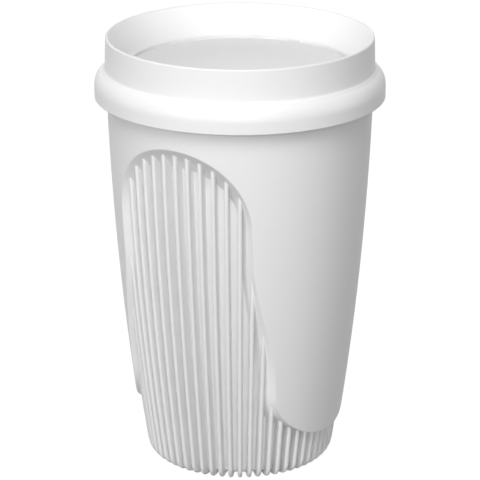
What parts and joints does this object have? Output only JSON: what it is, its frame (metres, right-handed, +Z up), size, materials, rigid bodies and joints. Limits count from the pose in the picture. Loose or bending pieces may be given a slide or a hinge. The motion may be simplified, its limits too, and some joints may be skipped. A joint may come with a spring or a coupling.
{
  "type": "travel mug",
  "caption": "Tall tapering double-walled travel mug with arched, finned grip recesses on two sides and a press-on sip lid with a dished top.",
  "frame": {"origin": "middle of the standing ring, on the table", "axes": "+Z up; the sip side and one grip recess face -Y, the other recess faces +Y"},
  "size_m": [0.09, 0.09, 0.137],
  "materials": {
    "outer_cup": "satin white moulded plastic",
    "inner_cup": "smooth white moulded plastic",
    "lid": "satin white moulded plastic",
    "lid_seal": "matt off-white silicone"
  },
  "bodies": {
    "cup": {"outer_cup": "outer_cup", "inner_cup": "inner_cup"},
    "lid": {"lid": "lid", "lid_seal": "lid_seal"}
  },
  "joints": [
    {"name": "lid_lift", "type": "slide", "parent": "cup", "child": "lid", "axis": [0, 0, 1], "range_m": [0, 0.06]}
  ]
}
